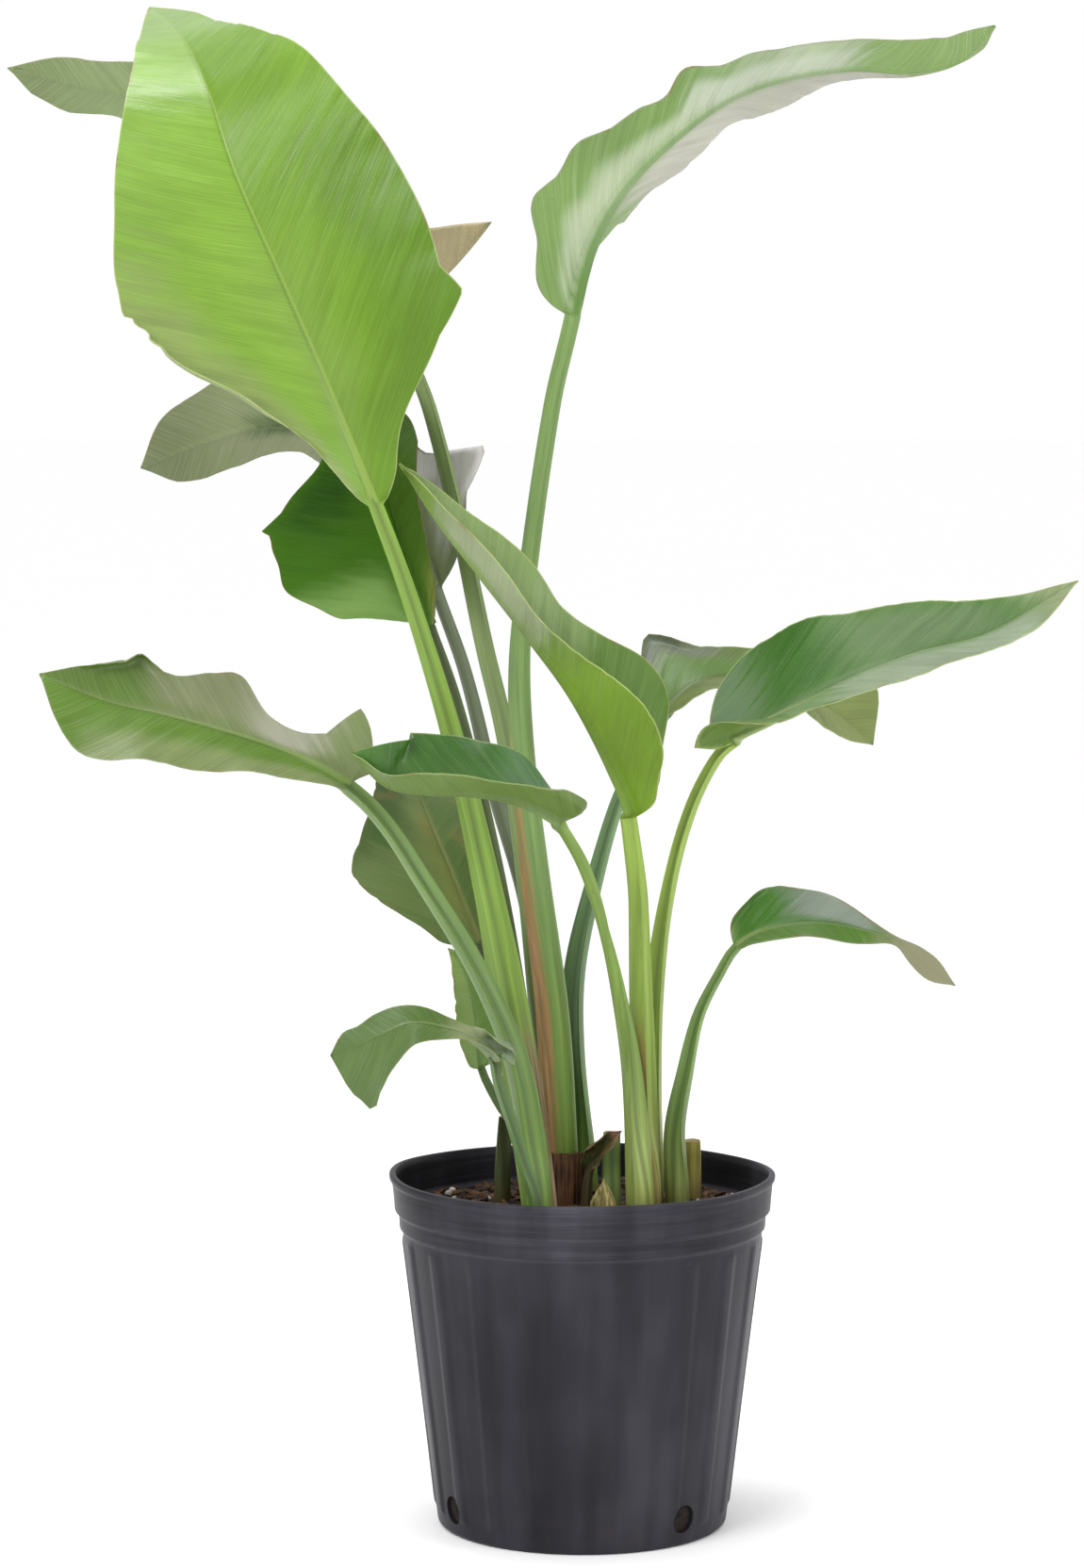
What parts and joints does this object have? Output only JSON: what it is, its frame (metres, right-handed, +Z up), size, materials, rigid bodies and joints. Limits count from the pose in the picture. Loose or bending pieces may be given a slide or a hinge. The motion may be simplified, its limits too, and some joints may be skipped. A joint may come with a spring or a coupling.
{
  "type": "potted bird of paradise",
  "caption": "Potted bird of paradise plant: paddle-shaped leaves on long grooved stalks, standing in soil in a round fluted nursery pot.",
  "frame": {"origin": "middle of the underside that the pot stands on", "axes": "+Z up, -Y towards the front of the plant, +X to its right as seen from the front"},
  "size_m": [0.7153, 0.3749, 1.0121],
  "materials": {
    "pot_plastic": "black moulded plastic with a low sheen",
    "soil": "damp dark potting mix",
    "leaf_bright": "satin, waxy, bright green",
    "leaf_fresh": "satin, waxy, fresh green",
    "leaf_deep": "satin, waxy, deep green",
    "leaf_pale": "matt grey-green underside",
    "leaf_dull": "matt, dull green",
    "dry_tan": "dry and matt, tan",
    "dry_brown": "dry and matt, brown"
  },
  "bodies": {
    "root": {"pot": "pot_plastic", "soil": "soil", "leaf_front_tall": "leaf_bright", "leaf_top_right": "leaf_fresh", "leaf_right": "leaf_deep", "leaf_middle": "leaf_bright", "leaf_low_right": "leaf_fresh", "leaf_left": "leaf_fresh", "leaf_centre_small": "leaf_deep", "leaf_low_left": "leaf_fresh", "leaf_low_back": "leaf_deep", "leaf_hanging_back": "leaf_dull", "leaf_dark_back": "leaf_deep", "leaf_grey_back": "leaf_pale", "leaf_top_left": "leaf_pale", "leaf_right_back": "leaf_deep", "dried_leaf_scrap": "dry_brown", "cut_stub_green": "leaf_fresh", "cut_stub_yellow": "dry_tan", "cut_stub_dark": "leaf_dull", "bud_scale": "dry_tan", "old_sheath": "dry_brown"}
  },
  "joints": []
}
